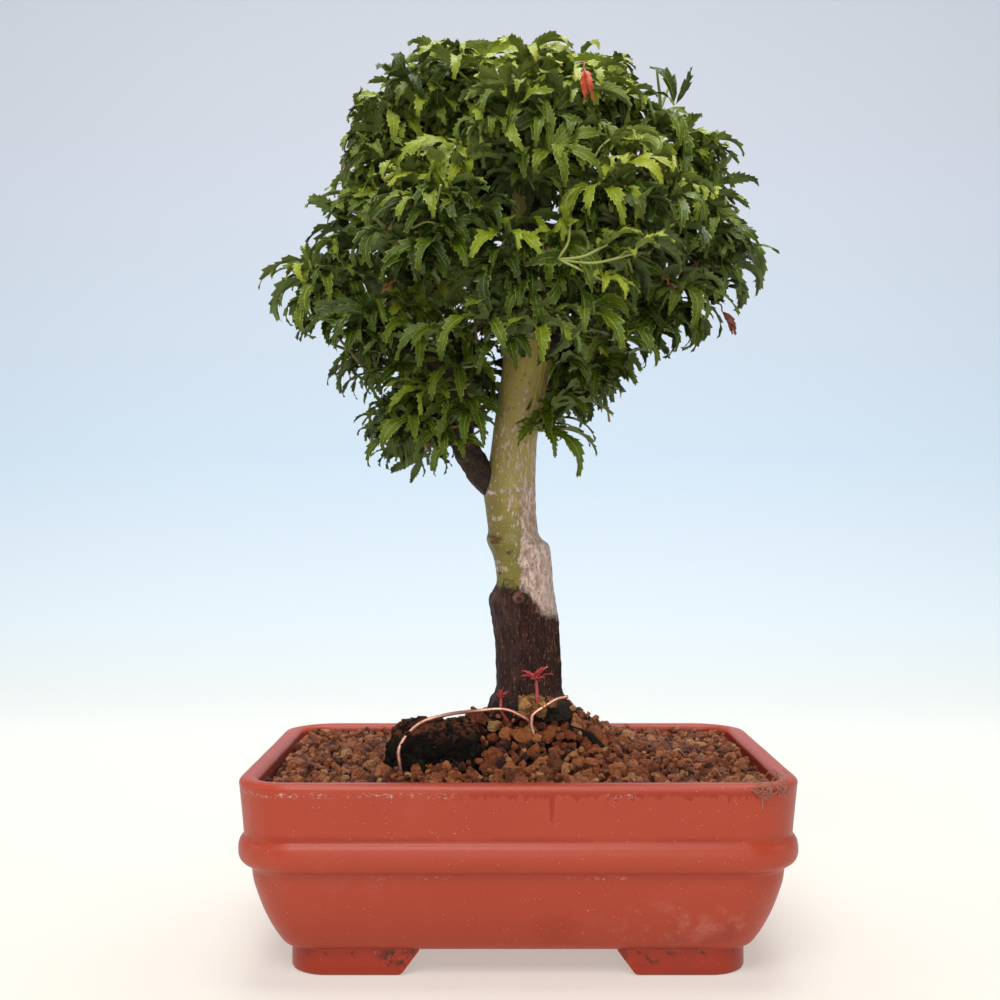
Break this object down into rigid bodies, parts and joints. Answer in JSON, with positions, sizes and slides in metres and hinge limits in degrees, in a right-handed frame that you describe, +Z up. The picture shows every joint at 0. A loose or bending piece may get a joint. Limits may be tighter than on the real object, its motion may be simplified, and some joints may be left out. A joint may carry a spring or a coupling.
{
  "type": "bonsai tree in a pot",
  "caption": "Small grafted maple bonsai with a rounded crown of crinkled leaves, wired into a rectangular brick-red clay pot with a belt and corner feet.",
  "frame": {"origin": "under the middle of the pot, on the surface that its four feet stand on", "axes": "+Z up along the trunk; -Y towards the front, the side with the old root ball; +X to the right seen from the front, along the pot's long side"},
  "size_m": [0.2611, 0.2114, 0.4643],
  "materials": {
    "pot_clay": "satin",
    "soil": "matte",
    "old_soil": "matte",
    "trunk_bark": "matte",
    "branch_bark": "matte",
    "young_shoots": "satin",
    "leaves": "satin",
    "tie_wire": "satin",
    "mesh_plastic": "matte"
  },
  "bodies": {
    "root": {"basal_shoot_left": "young_shoots", "basal_shoot_right": "young_shoots", "branch_back": "branch_bark", "branch_front": "branch_bark", "branch_low_left": "branch_bark", "branch_low_right": "branch_bark", "branch_middle_left": "branch_bark", "branch_middle_right": "branch_bark", "branch_top_left": "branch_bark", "branch_top_right": "branch_bark", "branch_upper_back": "branch_bark", "branch_upper_front": "branch_bark", "drain_mesh_left": "mesh_plastic", "drain_mesh_right": "mesh_plastic", "leaves_back_high": "leaves", "leaves_back_left": "leaves", "leaves_back_low_left": "leaves", "leaves_back_low_right": "leaves", "leaves_back_middle": "leaves", "leaves_back_right": "leaves", "leaves_bottom_left": "leaves", "leaves_far_left": "leaves", "leaves_far_right": "leaves", "leaves_front_high": "leaves", "leaves_front_left": "leaves", "leaves_front_low": "leaves", "leaves_front_right": "leaves", "leaves_left": "leaves", "leaves_low_left": "leaves", "leaves_low_right": "leaves", "leaves_right_of_trunk": "leaves", "leaves_top_left": "leaves", "leaves_top_middle": "leaves", "leaves_top_right": "leaves", "leaves_upper_left": "leaves", "leaves_upper_right": "leaves", "mesh_clip_left": "tie_wire", "mesh_clip_right": "tie_wire", "old_root_ball": "old_soil", "pot": "pot_clay", "soil_bed": "soil", "tie_wire": "tie_wire", "trunk": "trunk_bark"}
  },
  "joints": []
}
